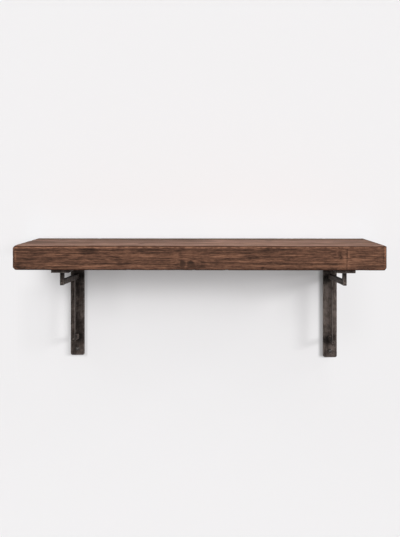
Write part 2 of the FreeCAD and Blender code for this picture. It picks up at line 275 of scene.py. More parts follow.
# How much paler or darker each forged piece is, from its foot to its top where there are more numbers: partly
# its own tone and partly painted light, paler on the right bracket's pieces where light falls from the right,
# and on the left lower return's lit side
TONES_AND_PAINTED_LIGHT = {
    "top_plate": {"left": -0.03, "right": 0.04},
    "wall_plate": {"left": (0.045, -0.045, -0.055, 0.0), "right": (0.045, 0.08, 0.13, 0.165, 0.13, -0.06)},
    "front_post": {"left": (-0.06, -0.08), "right": (0.10, 0.0)},
    "arm": {"left": 0.14, "right": 0.22},
    "upright": {"left": -0.05, "right": 0.09},
    "lower_return": {"left": 0.32, "right": 0.12},
}
TOP_PLATE_HALF = 22.75 * MM
TOP_PLATE_FRONT = -0.230
TOP_PLATE_UNDERSIDE = -39.25 * MM
NOTCH_HALF = 8.1 * MM
NOTCH_FRONT = -7.1 * MM
WALL_PLATE_HALF = 19.0 * MM
WALL_PLATE_FRONT = -7.0 * MM
WALL_PLATE_TAIL = 46.0 * MM
WALL_PLATE_CORNER = 5.0 * MM
TAB_HALF = 8.0 * MM
PLATE_EDGE = 1.3 * MM
BAR_HALF = 4.75 * MM
BAR_DEPTH = 13.5 * MM
BAR_EDGE = 1.7 * MM
POST_FRONT = -0.211
POST_BACK = -0.1975
POST_FOOT = -72.75 * MM
ARM_FALL = 10.0 * MM
RETURN_FALL = 5.0 * MM
UPRIGHT_FRONT = -0.065
UPRIGHT_BACK = -0.0515
SEATING = 2.0 * MM
TENON_RADIUS = 3.0 * MM
TENON_CROWN = 0.5 * MM
CROWN_SINK = 0.25 * MM
LEVEL = (0.0, 0.0)
# Steps of the iron's grids, size and depth of hammer marks, and distance from an edge for all of a crown
TOP_PLATE_STEP = 2.6 * MM
IRON_STEP = 2.4 * MM
HAMMER_SIZE = 9.0 * MM
HAMMER_DEPTH = 0.45 * MM
WALL_HAMMER_DEPTH = 0.5 * MM
CROWN_EDGE = 3.0 * MM
# Reach and strength of the soot and painted shade round each joint
SOOT_AND_SHADE_REACH = 13.5 * MM
SOOT_AND_SHADE_CORE = 1.35
# How far the soot and painted shadow on each wall plate lies inward of a joint, where the shadow falls, and
# above it
SHADOW_AND_SOOT_ASIDE = {"left": (6.0 * MM, 0.0), "right": (9.5 * MM, -6.0 * MM)}
# Height of the dark line at the foot of a post and the top of an arm, and how dark each one is. The arm's
# line is painted shade on its top face, which lies under the board
DARK_REACH = 1.8 * MM
NOT_DARK = (0.0, 0.0)
POST_DARK = (0.85, 0.0)
ARM_DARK = (0.0, 0.9)
EDGE_WEAR = 0.36
PLATE_WEAR = 0.30

# Screws: radius and height of the head; radius and length of the neck, radius of the thread, whole length,
# pitch, and points round it
WALL_SCREW = ((5.8 * MM, 3.2 * MM), (2.7 * MM, 7.0 * MM, 2.4 * MM, 50.0 * MM, 2.4 * MM, 20))
SHELF_SCREW = ((4.5 * MM, 2.6 * MM), (2.3 * MM, 9.5 * MM, 2.0 * MM, 36.0 * MM, 2.0 * MM, 14))
WALL_SCREW_RISE = 17.5 * MM
SHELF_SCREW_INSET = 8.75 * MM
SHELF_SCREW_ROWS = (POST_BACK + 35.0 * MM, -60.0 * MM)
# How far each slot is turned, in radians
WALL_SCREW_TURNS = {"left": (0.5, 0.95), "right": (1.3, 0.25)}
SHELF_SCREW_TURNS = (0.2, 1.1, 2.4, 1.7)
HEAD_RIM = 0.3 * MM
HEAD_LINES = 23
SLOT_HALF = 0.7 * MM
SLOT_DEPTH = 1.2 * MM
SCREW_TIP = 6.0 * MM
THREAD_CORE = 0.72
TIP_SHARE = 0.16
SHARP_ANGLE = 40.0

# Where grid lines lie near a rounded edge, as shares of its radius
EDGE_LINES = np.array([0.0, 0.3, 0.65, 1.0, 1.7])
TINY = 1e-12


class Tree:
    """Short names for making the nodes of one material or world."""

    def __init__(self, owner):
        owner.use_nodes = True
        self.owner = owner
        self.nodes = owner.node_tree.nodes
        self.links = owner.node_tree.links
        self.nodes.clear()

    def node(self, kind, inputs=None, **settings):
        """Node with its settings, and with inputs, by number or name, that are linked or set."""
        made = self.nodes.new(kind)
        for key, value in settings.items():
            setattr(made, key, value)
        for key, value in (inputs or {}).items():
            if isinstance(value, bpy.types.NodeSocket):
                self.links.new(value, made.inputs[key])
            else:
                made.inputs[key].default_value = value
        return made

    def math(self, operation, first, second=0.0):
        return self.node("ShaderNodeMath", {0: first, 1: second}, operation=operation).outputs[0]

    def times(self, product, *factors):
        for factor in factors:
            product = self.math("MULTIPLY", product, factor)
        return product

    def plus(self, total, *layers):
        """Sum of a value and of layers, each one with its weight."""
        for layer, weight in layers:
            total = self.math("ADD", self.times(layer, weight), total)
        return total

    def centred(self, value):
        """Noise, moved to lie about nothing."""
        return self.math("SUBTRACT", value, 0.5)

    def shares(self, layers, weights):
        """Centred layers with their weights, for a sum."""
        return [(self.centred(layers[name]), weight) for name, weight in weights.items()]

    def vector(self, operation, first, second=(0.0, 0.0, 0.0)):
        made = self.node("ShaderNodeVectorMath", {0: first, 1: second}, operation=operation)
        return made.outputs["Value" if operation in ("LENGTH", "DOT_PRODUCT") else "Vector"]

    def scaled(self, vector, share):
        inputs = {0: vector, "Scale": share}
        return self.node("ShaderNodeVectorMath", inputs, operation="SCALE").outputs["Vector"]

    def range(self, value, start, end, first=0.0, last=1.0):
        """Smooth step from a first number, where a value is at the start, to the last one at the end."""
        inputs = dict(enumerate((value, start, end, first, last)))
        return self.node("ShaderNodeMapRange", inputs, interpolation_type="SMOOTHSTEP").outputs[0]

    def window(self, value, start, full, fading, end):
        """One between two limits, with a smooth step on either side."""
        return self.times(self.range(value, start, full), self.range(value, end, fading))

    def mix(self, factor, first, second):
        return self.node("ShaderNodeMix", {0: factor, 6: first, 7: second}, data_type="RGBA").outputs[2]

    def noise(self, place, scale, detail=3.0, roughness=0.5):
        """Noise of a place, whose scale may differ along each axis."""
        if isinstance(scale, tuple):
            place, scale = self.vector("MULTIPLY", place, scale), 1.0
        inputs = {"Vector": place, "Scale": scale, "Detail": detail, "Roughness": roughness}
        return self.node("ShaderNodeTexNoise", inputs).outputs["Fac"]

    def ramp(self, value, stops):
        made = self.node("ShaderNodeValToRGB", {0: value})
        elements = made.color_ramp.elements
        while len(elements) < len(stops):
            elements.new(1.0)
        for element, (position, colour) in zip(elements, stops):
            element.position = position
            element.color = (*colour, 1.0)
        return made.outputs[0]

    def place(self):
        return self.node("ShaderNodeTexCoord").outputs["Object"]

    def axes(self, vector):
        return self.node("ShaderNodeSeparateXYZ", {0: vector}).outputs

    def attribute(self, name):
        return self.node("ShaderNodeAttribute", attribute_name=name).outputs["Fac"]

    def bump(self, height, depth, strength):
        inputs = {"Height": height, "Distance": depth, "Strength": strength}
        return self.node("ShaderNodeBump", inputs).outputs[0]

    def surface(self, colour, roughness, normal, metallic=0.0, specular=0.5):
        """Finishes the material with one shader."""
        inputs = {"Base Color": colour, "Roughness": roughness, "Normal": normal, "Metallic": metallic}
        inputs["Specular IOR Level"] = specular
        self.finish(self.node("ShaderNodeBsdfPrincipled", inputs).outputs[0])
        return self.owner

    def blend(self, factor, first, second):
        """One shader where the factor is nothing and the other where it is one."""
        return self.node("ShaderNodeMixShader", {0: factor, 1: first, 2: second}).outputs[0]

    def finish(self, shader, output="ShaderNodeOutputMaterial"):
        self.node(output, {0: shader})


def knot_layers(t, place):
    """Grain that bends round the knots, and how deep each place lies in their cores, dark rims and rings."""
    grain = place
    core = rim = rings = 0.0
    ragged = t.centred(t.noise(place, 130.0, 3.0, 0.6))
    for point, axis, radius, along, across, low_half, strength in KNOTS:
        unit = tuple(Vector(axis).normalized())
        away = t.vector("SUBTRACT", place, point)
        side = t.vector("SUBTRACT", away, t.scaled(unit, t.vector("DOT_PRODUCT", away, unit)))
        reach = t.vector("MULTIPLY", side, (1 / along, 1 / across, 1 / across))
        fall = t.math("EXPONENT", t.times(t.vector("DOT_PRODUCT", reach, reach), -1.0))
        pushed = t.scaled(t.vector("MULTIPLY", side, (0.0, 0.8, 0.8)), fall)
        grain = t.vector("SUBTRACT", grain, pushed)
        far = t.vector("LENGTH", t.vector("MULTIPLY", side, (0.95, 1.0, 1.0)))
        ratio = t.plus(t.math("DIVIDE", far, radius), (ragged, 0.8))
        inside = t.range(ratio, 0.85, 1.2, strength, 0.0)
        height = t.vector("DOT_PRODUCT", side, (0.1, 0.35, 0.95))
        depth = t.range(height, -0.25 * radius, 0.7 * radius, strength * low_half, strength)
        dark = t.times(t.range(ratio, 1.4, 0.65), depth)
        lines = t.range(t.math("SINE", t.times(ratio, 17.0)), -1.0, 1.0, 0.0, 0.35)
        core = t.math("MAXIMUM", core, inside)
        rim = t.math("MAXIMUM", rim, dark)
        rings = t.math("MAXIMUM", rings, t.times(inside, lines))
    return grain, core, rim, rings


def growth_rings(t, place, grain):
    """Late wood of rings about a pith that wanders below the board, and distance and turn about the pith."""
    x, y, z = t.axes(grain)
    down = t.plus(t.math("SUBTRACT", z, PITH[1]), (x, PITH_FALL))
    across = t.math("SUBTRACT", y, PITH[0])
    radius = t.math("SQRT", t.math("ADD", t.times(down, down), t.times(across, across)))
    radius = t.plus(radius, (t.centred(t.noise(place, (2.2, 7.0, 7.0), 2.0)), PITH_WANDER))
    length, depth = RING_WAVES
    uneven = t.math("SINE", t.times(radius, 2 * pi / length))
    saw = t.math("FRACT", t.times(t.plus(radius, (uneven, depth)), 1 / RING_STEP))
    late = t.times(t.math("POWER", saw, 3.0), t.range(saw, 1.0, 0.94))
    return late, radius, t.math("ARCTAN2", across, down)


def front_colour(t, grain, layers, late, mark):
    """Colour of the front and the underside: dark stain, with dark and pale dashes and the marks."""
    dash = t.noise(t.vector("ADD", grain, (3.7, 1.3, 2.9)), (27.0, 380.0, 380.0), 2.0, 0.5)
    tone = t.plus(FRONT_TONE, *t.shares(layers, FRONT_SHARES), (late, -0.12))
    tone = t.plus(tone, (t.range(dash, 0.60, 0.72), -0.24), (t.range(dash, 0.40, 0.30), 0.16))
    tone = t.plus(tone, (mark, t.range(layers["fine"], 0.3, 0.7, 0.75, 1.2)))
    return t.ramp(tone, FRONT_RAMP)


def top_colour(t, place, layers, late):
    """Colour of the top: paler than the front, partly as a painted sheen of grazing light and partly from
    use, in long streaks, most at the front, and darker along the wall.
    """
    y = t.axes(place)[1]
    front = t.times(t.range(y, -0.252, -0.232, 0.6, 1.0), t.range(y, -0.178, -0.215))
    dull = t.window(y, -0.168, -0.150, -0.140, -0.110)
    rubbed = t.plus(layers["rubbed"], (front, 0.09), (dull, -0.03), (t.range(y, -0.075, -0.035), -0.26))
    return t.ramp(t.plus(rubbed, *t.shares(layers, TOP_SHARES), (late, -0.14)), TOP_RAMP)


def end_colour(t, place, layers, late, radius, turn):
    """Colour of the end grain: rings, pores, and drying cracks that run out from the pith."""
    tone = t.plus(END_TONE, (late, -0.42), *t.shares(layers, END_SHARES))
    inputs = {0: t.times(turn, 34.0), 1: t.times(radius, 9.0), 2: t.times(t.axes(place)[0], 3.0)}
    spread = t.node("ShaderNodeCombineXYZ", inputs).outputs[0]
    split = t.math("ABSOLUTE", t.centred(t.noise(spread, 1.0, 3.0, 0.6)))
    crack = t.times(t.range(split, 0.004, 0.016, 0.85, 0.0), t.range(layers["patch"], 0.45, 0.6))
    return t.mix(crack, t.ramp(tone, END_RAMP), CRACK_COLOUR)


def worn_edges(t, place, layers, colour, up):
    """Colour with a dark line along each edge, and paler worn wood just inside it, most along the top."""
    edge = t.attribute("edge")
    less_below = t.range(t.axes(place)[2], -0.016, 0.016, 0.25, 1.0)
    worn = t.times(t.window(edge, 0.0024, 0.0034, 0.0042, 0.0056), less_below, t.math("SUBTRACT", 1.0, up))
    worn = t.times(worn, t.range(layers["broken"], 0.42, 0.62, 0.1, 0.95))
    line = t.range(t.plus(edge, (up, -0.0035)), 0.0034, 0.0020)
    line = t.times(line, t.range(layers["broken"], 0.68, 0.46, 0.5, 0.9))
    line = t.times(line, t.range(layers["spots"], 0.62, 0.50, 0.55, 1.0))
    return t.mix(line, t.mix(worn, colour, WORN_COLOUR), EDGE_LINE_COLOUR)


def wood_material():
    """Dark stained old softwood: rings, fibre, knots, saw marks, and pale worn edges."""
    t = Tree(bpy.data.materials.new("stained_wood"))
    place = t.place()
    grain, core, rim, rings = knot_layers(t, place)
    late, radius, turn = growth_rings(t, place, grain)
    layers = {name: t.noise(grain, *given) for name, given in GRAIN_LAYERS.items()}
    layers.update({name: t.noise(place, *given) for name, given in PLACE_LAYERS.items()})
    fine = layers["fine"]
    mark = t.attribute("mark")
    colour = front_colour(t, grain, layers, late, mark)

    # Saw marks across the front, in patches and in one strong band
    x, _, z = t.axes(place)
    slant = t.plus(x, (z, 0.06), (t.noise(place, 40.0, 2.0), 0.004))
    teeth = t.math("SINE", t.times(slant, 2 * pi / TOOTH_STEP))
    sawn = t.range(layers["sawn"], 0.5, 0.68)
    band = t.window(x, *SAWN_BAND)
    colour = t.mix(t.times(band, t.range(layers["hatch"], 0.50, 0.64, 0.0, 0.5)), colour, SAWN_COLOUR)

    facing = t.axes(t.node("ShaderNodeNewGeometry").outputs["Normal"])
    up = t.range(facing[2], 0.6, 0.98)
    # Upward faces are paler, partly a painted sheen of grazing light and partly faded from use
    sheen_and_fade = t.times(up, t.range(fine, 0.35, 0.65, 0.7, 0.9))
    colour = t.mix(sheen_and_fade, colour, top_colour(t, place, layers, late))
    ends = t.range(t.math("ABSOLUTE", facing[0]), 0.6, 0.95)
    colour = t.mix(ends, colour, end_colour(t, place, layers, late, radius, turn))

    knot = t.mix(rings, t.mix(fine, *KNOT_COLOURS), KNOT_RING_COLOUR)
    colour = t.mix(t.times(core, 0.85), colour, knot)
    colour = t.mix(t.times(rim, 0.95), colour, KNOT_RIM_COLOUR)
    colour = worn_edges(t, place, layers, colour, up)

    relief = t.plus(0.0, (layers["fibre"], 0.45), (fine, 0.55), (layers["streak"], 0.35), (late, -0.15))
    relief = t.plus(relief, (t.times(teeth, sawn), 0.14), (t.times(teeth, band), 0.18))
    relief = t.plus(relief, (mark, 0.8), (rim, -0.4))
    rough = t.range(layers["streak"], 0.3, 0.7, 0.82, 0.68)
    return t.surface(colour, rough, t.bump(relief, 0.8 * MM, 0.7), specular=0.05)


def iron_material():
    """Blackened forged iron: brown-black scale, grey scuffs, pits, and bare metal on the edges."""
    t = Tree(bpy.data.materials.new("blackened_iron"))
    place = t.place()
    cloud = t.noise(place, 48.0, 4.0, 0.62)
    scale = t.noise(place, 190.0, 4.0, 0.68)
    drawn = t.noise(place, (300.0, 300.0, 34.0), 3.0, 0.6)
    tone = t.plus(-0.125, (cloud, 0.5625), (scale, 0.3375), (drawn, 0.35), (t.attribute("shade"), 1.0))
    rust = t.range(t.noise(place, 90.0, 3.0, 0.7), 0.56, 0.72, 0.0, 0.45)
    colour = t.mix(rust, t.ramp(tone, IRON_RAMP), RUST_COLOUR)
    rubbed = t.math("ADD", t.noise(place, (90.0, 90.0, 45.0), 3.0, 0.65), t.attribute("wear"))
    bare = t.times(t.range(t.attribute("edge"), 0.0019, 0.0002), t.range(rubbed, 0.40, 0.58))
    colour = t.mix(t.times(bare, 0.75), colour, BARE_IRON_COLOUR)
    # Soot at the joints, with painted shadow beside them and painted shade where light falls short
    soot_and_shade = t.times(t.attribute("soot_and_painted_shade"), t.range(scale, 0.3, 0.6, 1.0, 0.85))
    colour = t.mix(soot_and_shade, colour, SOOT_AND_SHADE_COLOUR)
    metallic = t.plus(0.05, (bare, 0.45))
    cells = t.node("ShaderNodeTexVoronoi", {"Vector": place, "Scale": 420.0}).outputs["Distance"]
    pits = t.range(cells, 0.30, 0.05)
    relief = t.plus(0.0, (cloud, 0.9), (scale, 0.5), (pits, -0.20))
    rough = t.range(scale, 0.3, 0.7, 0.70, 0.52)
    return t.surface(colour, rough, t.bump(relief, 0.8 * MM, 0.7), metallic, 0.04)


def screw_material():
    """Dark screw steel with rubbed high spots and dirt in the thread."""
    t = Tree(bpy.data.materials.new("dark_screw_steel"))
    place = t.place()
    speck = t.noise(place, 900.0, 4.0, 0.6)
    cloud = t.noise(place, 260.0, 3.0, 0.55)
    colour = t.mix(t.range(speck, 0.60, 0.75, 0.0, 0.6), t.ramp(cloud, SCREW_RAMP), SPECK_COLOUR)
    metallic = t.range(cloud, 0.35, 0.7, 0.35, 0.8)
    rough = t.range(cloud, 0.3, 0.7, 0.50, 0.30)
    return t.surface(colour, rough, t.bump(speck, 0.15 * MM, 0.5), metallic)


def grid_lines(low, high, radius, step, extra=()):
    """Places of the grid lines along one axis, close together where an edge is rounded."""
    near = radius * EDGE_LINES
    count = max(1, round((high - low - 2 * near[-1]) / step))
    middle = np.linspace(low + near[-1], high - near[-1], count + 1)
    return np.unique(np.round(np.concatenate([low + near, middle, high - near, extra]), 7))


def shell(lines, filled=None):
    """Points and faces of the surface of a grid's filled cells."""
    size = tuple(len(line) for line in lines)
    if filled is None:
        filled = np.ones([n - 1 for n in size], bool)
    padded = np.pad(filled, 1)
    inner = (slice(1, -1),) * 3
    found = []
    for axis in range(3):
        second, third = (axis + 1) % 3, (axis + 2) % 3
        for side in (0, 1):
            beside = list(inner)
            beside[axis] = slice(2, None) if side else slice(None, -2)
            cells = np.argwhere(filled & ~padded[tuple(beside)])
            cells[:, axis] += side
            corners = []
            for b, c in ((0, 0), (1, 0), (1, 1), (0, 1)):
                corner = cells.copy()
                corner[:, second] += b
                corner[:, third] += c
                corners.append(np.ravel_multi_index(corner.T, size))
            quads = np.stack(corners, 1)
            found.append(quads if side else quads[:, ::-1])
    used, faces = np.unique(np.concatenate(found), return_inverse=True)
    places = np.unravel_index(used, size)
    points = np.stack([line[p] for line, p in zip(lines, places)], 1)
    return points, faces.reshape(-1, 4)


def edge_distance(points, low, high):
    """Distance of points on a box from its nearest edge."""
    near = np.sort(np.minimum(points - low, high - points), axis=1)
    return np.clip(near[:, 1], 0.0, None)


def rounded(points, low, high, radius, round_high=(1, 1, 1)):
    """Points of a box moved onto rounded edges, at its low faces and the chosen high ones."""
    radius = np.broadcast_to(radius, len(points))[:, None]
    core = np.clip(points, low + radius, high - radius * np.array(round_high))
    off = points - core
    length = np.linalg.norm(off, axis=1, keepdims=True)
    reach = np.abs(off).max(axis=1, keepdims=True)
    return core + off * np.where(length > 0, reach / np.maximum(length, TINY), 1.0)


def rounded_box(low, high, radius, step, extra=((), (), ()), kept=None, round_high=(1, 1, 1)):
    """Points, faces and distances from an edge of a box, or of its cells whose middles are to be kept."""
    lines = [grid_lines(lo, hi, radius, step, more) for lo, hi, more in zip(low, high, extra)]
    middles = np.meshgrid(*[(line[1:] + line[:-1]) / 2 for line in lines], indexing="ij")
    points, faces = shell(lines, kept(*middles) if kept else None)
    return rounded(points, low, high, radius, round_high), faces, edge_distance(points, low, high)


def wave(points, scale, shift=0.0):
    """Smooth noise between about -1 and 1 at each point."""
    spots = points * np.asarray(scale) + shift
    return np.array([noise.noise(Vector(spot)) for spot in spots])


def bell(away, reach):
    """One at no distance, falling off smoothly past the reach."""
    return np.exp(-((away / reach) ** 2))


def add_object(name, data):
    """Object in the scene."""
    made = bpy.data.objects.new(name, data)
    bpy.context.scene.collection.objects.link(made)
    return made


def new_piece(name, points, faces, values, material, sharp=None):
    """Object with a smooth mesh that carries named values at its points. A corner given twice counts once."""
    mesh = bpy.data.meshes.new(name)
    mesh.from_pydata(points.tolist(), [], [tuple(dict.fromkeys(face)) for face in faces.tolist()])
    mesh.update()
    mesh.polygons.foreach_set("use_smooth", np.ones(len(mesh.polygons), bool))
    if sharp is not None:
        mesh.set_sharp_from_angle(angle=radians(sharp))
    for key, given in values.items():
        attribute = mesh.attributes.new(key, "FLOAT", "POINT")
        attribute.data.foreach_set("value", np.asarray(given, np.float32))
    mesh.materials.append(material)
    return add_object(name, mesh)


def normals_of(points, faces):
    """Unit normal at each point, from the faces round it."""
    a, b, c, d = (points[faces[:, i]] for i in range(4))
    across = np.cross(c - a, d - b)
    total = np.zeros_like(points)
    for i in range(4):
        np.add.at(total, faces[:, i], across)
    return total / np.maximum(np.linalg.norm(total, axis=1, keepdims=True), TINY)


def stand_for(piece, node):
    """Hangs a piece on the body and lets it stand for a node of the frame."""
    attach(piece, "root")
    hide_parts(node)


def ease_corner(points, axes, centre, hand, share):
    """Rounds one corner of an outline in two axes, about a centre and towards two signs, by a share."""
    out = [sign * (points[:, axis] - middle) for axis, middle, sign in zip(axes, centre, hand)]
    inside = (out[0] > 0) & (out[1] > 0)
    ratio = np.maximum(*out) / np.maximum(np.hypot(*out), TINY)
    for axis, sign, reach in zip(axes, hand, out):
        points[inside, axis] += sign * (share * reach * (ratio - 1.0))[inside]


def grain_marks(points):
    """How much paler or darker the board is at each point, on and near its front."""
    x, z = points[:, 0] / MM, points[:, 2] / MM
    x = x + 1.6 * wave(points, (12.0, 12.0, 60.0), 8.8)
    z = z + 0.7 * wave(points, (55.0, 20.0, 20.0), 4.4)
    broken = np.clip(1.0 + 1.1 * wave(points, (70.0, 70.0, 120.0), 2.2), 0.1, 1.8)
    total = np.zeros(len(points))
    marks = [(*mark, 0.0) for mark in MARKS] + SLANTED_MARKS
    for middle, height, half_length, half_height, strength, rise in marks:
        along = (x - middle) / half_length
        across = (z - height - 0.5 * rise * along) / half_height
        sawn = half_length < SAWN_HALF and abs(middle) < SAWN_WITHIN
        power = 2 if half_length < SPOT_HALF else 4
        total += strength * np.exp(-(np.abs(along) ** power) - across ** 2) * (broken if sawn else 1.0)
    return total * bell(points[:, 1] - BOARD_LOW[1], MARK_REACH)


def worn_radius(points):
    """Radius of the board's edges near each point: uneven, larger at chips, and crisp above the right end."""
    uneven = 0.8 * wave(points, 9.0) + 0.8 * wave(points, 34.0, 7.3)
    chips = np.clip(wave(points, (22.0, 30.0, 30.0), 31.7) - 0.22, 0.0, 1.0)
    radius = np.clip(BOARD_EDGE + (uneven + 6.0 * chips) * MM, *EDGE_LIMITS)
    crisp = np.clip((points[:, [0, 2]] - CRISP_FROM) / CRISP_FADE, 0.0, 1.0).prod(axis=1)
    return radius + (CRISP_EDGE - radius) * crisp


def make_board(material):
    """Board with unevenly worn edges, chips, and a slightly uneven surface, inside its box."""
    finer = np.concatenate([np.arange(start, end, FINE_STEP) for start, end in FINE_STRETCHES])
    steps = zip(BOARD_LOW, BOARD_HIGH, BOARD_STEPS, (finer, [], []))
    points, faces = shell([grid_lines(lo, hi, BOARD_EDGE, step, more) for lo, hi, step, more in steps])
    edge = edge_distance(points, BOARD_LOW, BOARD_HIGH)
    shaped = rounded(points, BOARD_LOW, BOARD_HIGH, worn_radius(points))
    share = bell(shaped[:, 1] - BOARD_LOW[1], CORNER_DEPTH)
    for hand, (plan, below, above) in BOARD_CORNERS.items():
        middle = (hand * (BOARD_HIGH[0] - plan), BOARD_LOW[1] + plan)
        ease_corner(shaped, (0, 1), middle, (hand, -1), 1.0)
        for side, corner in ((-1, below), (1, above)):
            middle = (hand * (BOARD_HIGH[0] - corner), side * (BOARD_HIGH[2] - corner))
            ease_corner(shaped, (0, 2), middle, (hand, side), share)
    hollow = 0.12 * (1.0 + wave(points, (6.0, 14.0, 20.0), 3.1))
    ripple = 0.10 * (1.0 + wave(points, (26.0, 60.0, 60.0), 11.9))
    nicks = 2.2 * np.clip(wave(points, 75.0, 19.4) - 0.34, 0.0, 1.0) * bell(edge, NICK_REACH)
    shaped = shaped - normals_of(shaped, faces) * ((hollow + ripple + nicks) * MM)[:, None]
    board = new_piece("board", shaped, faces, {"edge": edge, "mark": grain_marks(points)}, material)
    stand_for(board, "plank")


def forged(points, faces, shift, depth=HAMMER_DEPTH):
    """Points moved by shallow round hammer marks about the true surface, other ones for each shift."""
    nearest = [noise.voronoi(Vector(spot))[0][0] for spot in points / HAMMER_SIZE + shift]
    marks = 1.0 - np.clip(nearest, 0.0, 1.0) ** 2
    uneven = 0.5 * (1.0 + wave(points, 45.0, shift))
    push = 0.6 * marks + 0.4 * uneven
    moved = points - normals_of(points, faces) * (depth * (push - push.mean()))[:, None]
    return np.clip(moved, CAD_BOX[0], CAD_BOX[1])


def iron_values(points, edge, joints, shade, wear=0.0):
    """Values for the iron's looks: distance from an edge, soot and painted shade near joints, how pale it is
    with some painted light, worn edges.
    """
    soot_and_painted_shade = np.zeros(len(points))
    for joint in joints:
        away = np.linalg.norm(points - np.array(joint), axis=1)
        soot_and_painted_shade = np.maximum(soot_and_painted_shade, np.minimum(1.0, SOOT_AND_SHADE_CORE * bell(away, SOOT_AND_SHADE_REACH)))
    worn = wear * (points[:, 0] - points[:, 0].mean()) / np.ptp(points[:, 0])
    shades = np.atleast_1d(shade)
    heights = np.linspace(points[:, 2].min(), points[:, 2].max(), len(shades))
    return {"edge": edge, "soot_and_painted_shade": soot_and_painted_shade, "shade": np.interp(points[:, 2], heights, shades), "wear": worn}


def add_iron(node, points, faces, values, material):
    """Forged piece that stands for its node."""
    piece = new_piece("forged_" + node, points, faces, values, material)
    stand_for(piece, node)


def ring_faces(rings, around):
    """Faces between rings of points and at both ends, whose middle points come last, the far one first."""
    last = (rings - 1) * around
    end, start = last + around, last + around + 1
    faces = []
    for row in range(0, last, around):
        for step in range(around):
            a, b = row + step, row + (step + 1) % around
            faces.append((a, b, b + around, a + around))
    for step in range(around):
        following = (step + 1) % around
        faces.append((following, step, start, start))
        faces.append((last + step, last + following, end, end))
    return np.array(faces)


def crown(place, direction, rings=5, around=28):
    """Points and faces of the low domed end of a tenon, hammered over on the surface at a place."""
    along = Vector(direction)
    centre = Vector(place) - CROWN_SINK * along
    first = along.orthogonal().normalized()
    second = along.cross(first)
    points = []
    for ring in range(rings + 1):
        share = 1.0 - ring / (rings + 1)
        for step in range(around):
            turn = 2 * pi * step / around
            out = TENON_RADIUS * share * (1.0 + 0.05 * sin(3 * turn + ring))
            spot = centre + out * (cos(turn) * first + sin(turn) * second)
            points.append(spot + along * TENON_CROWN * (1.0 - share ** 2.4))
    points += [centre + along * TENON_CROWN, centre]
    return np.array(points, float), ring_faces(rings + 1, around)


def joined(parts):
    """Points and faces of several meshes as one."""
    points, faces, start = [], [], 0
    for p, f in parts:
        points.append(p)
        faces.append(f + start)
        start += len(p)
    return np.concatenate(points), np.concatenate(faces)


def make_bar(side, part, reach, heights, material, joints=(), tilt=LEVEL, ends=(), wear=0.0, dark=NOT_DARK):
    """Forged bar between two places in Y and two heights, tilted about a place in Y, with tenon ends."""
    centre = BRACKETS[side][0]
    low = np.array([centre - BAR_HALF, reach[0], heights[0]])
    high = np.array([centre + BAR_HALF, reach[1], heights[1]])
    shaped, faces, edge = rounded_box(low, high, BAR_EDGE, IRON_STEP)
    flat = shaped[:, 2].copy()
    start, slope = tilt
    shaped[:, 2] += slope * (shaped[:, 1] - start)
    shaped = forged(shaped, faces, 13.7 * low[0] + 3.1 * low[2])
    crowns = [crown(place, direction) for place, direction in ends]
    points, faces = joined([(shaped, faces)] + crowns)
    edge = np.concatenate([edge] + [np.full(len(p), CROWN_EDGE) for p, _ in crowns])
    values = iron_values(points, edge, joints, TONES_AND_PAINTED_LIGHT[part][side], wear)
    # A dark line at the foot or the top of the bar; on the arm's top face it is painted shade
    bar = values["soot_and_painted_shade"][: len(flat)]
    for share, away in zip(dark, (flat - low[2], high[2] - flat)):
        bar[:] = np.maximum(bar, share * np.clip(1.0 - away / DARK_REACH, 0.0, 1.0))
    add_iron(f"{side}_{part}", points, faces, values, material)


def make_top_plate(side, joints, material):
    """Plate under the board, with the notch for the wall plate's tab."""
    centre = BRACKETS[side][0]
    low = np.array([centre - TOP_PLATE_HALF, TOP_PLATE_FRONT, TOP_PLATE_UNDERSIDE])
    high = np.array([centre + TOP_PLATE_HALF, 0.0, UNDERSIDE])
    extra = ([centre - NOTCH_HALF, centre + NOTCH_HALF], [NOTCH_FRONT], [])

    def kept(x, y, z):
        return (np.abs(x - centre) >= NOTCH_HALF) | (y <= NOTCH_FRONT)

    shaped, faces, edge = rounded_box(low, high, PLATE_EDGE, TOP_PLATE_STEP, extra, kept, (1, 0, 0))
    shaped = forged(shaped, faces, 5.3 * centre)
    values = iron_values(shaped, edge, joints, TONES_AND_PAINTED_LIGHT["top_plate"][side])
    rise = (shaped[:, 2] - low[2]) / (high[2] - low[2])
    # Darker towards the board above, as painted shade under it
    values["soot_and_painted_shade"] = np.maximum(values["soot_and_painted_shade"], np.clip(2.0 * rise - 1.0, 0.0, 0.9))
    values["wear"] = PLATE_WEAR * (0.5 - rise)
    add_iron(side + "_top_plate", shaped, faces, values, material)


def make_wall_plate(side, end, joints, material):
    """Plate against the wall with rounded lower corners, and its tab above."""
    centre = BRACKETS[side][0]
    low = np.array([centre - WALL_PLATE_HALF, WALL_PLATE_FRONT, end])
    high = np.array([centre + WALL_PLATE_HALF, 0.0, UNDERSIDE])
    extra = ([centre - TAB_HALF, centre + TAB_HALF], [], [TOP_PLATE_UNDERSIDE])

    def kept(x, y, z):
        return (np.abs(x - centre) < TAB_HALF) | (z < TOP_PLATE_UNDERSIDE)

    shaped, faces, edge = rounded_box(low, high, PLATE_EDGE, IRON_STEP, extra, kept, (1, 0, 0))
    for hand in (-1, 1):
        middle = (centre + hand * (WALL_PLATE_HALF - WALL_PLATE_CORNER), end + WALL_PLATE_CORNER)
        ease_corner(shaped, (0, 2), middle, (hand, -1), 1.0)
    shaped = forged(shaped, faces, 2.9 * centre, WALL_HAMMER_DEPTH)
    values = iron_values(shaped, edge, joints, TONES_AND_PAINTED_LIGHT["wall_plate"][side])
    add_iron(side + "_wall_plate", shaped, faces, values, material)


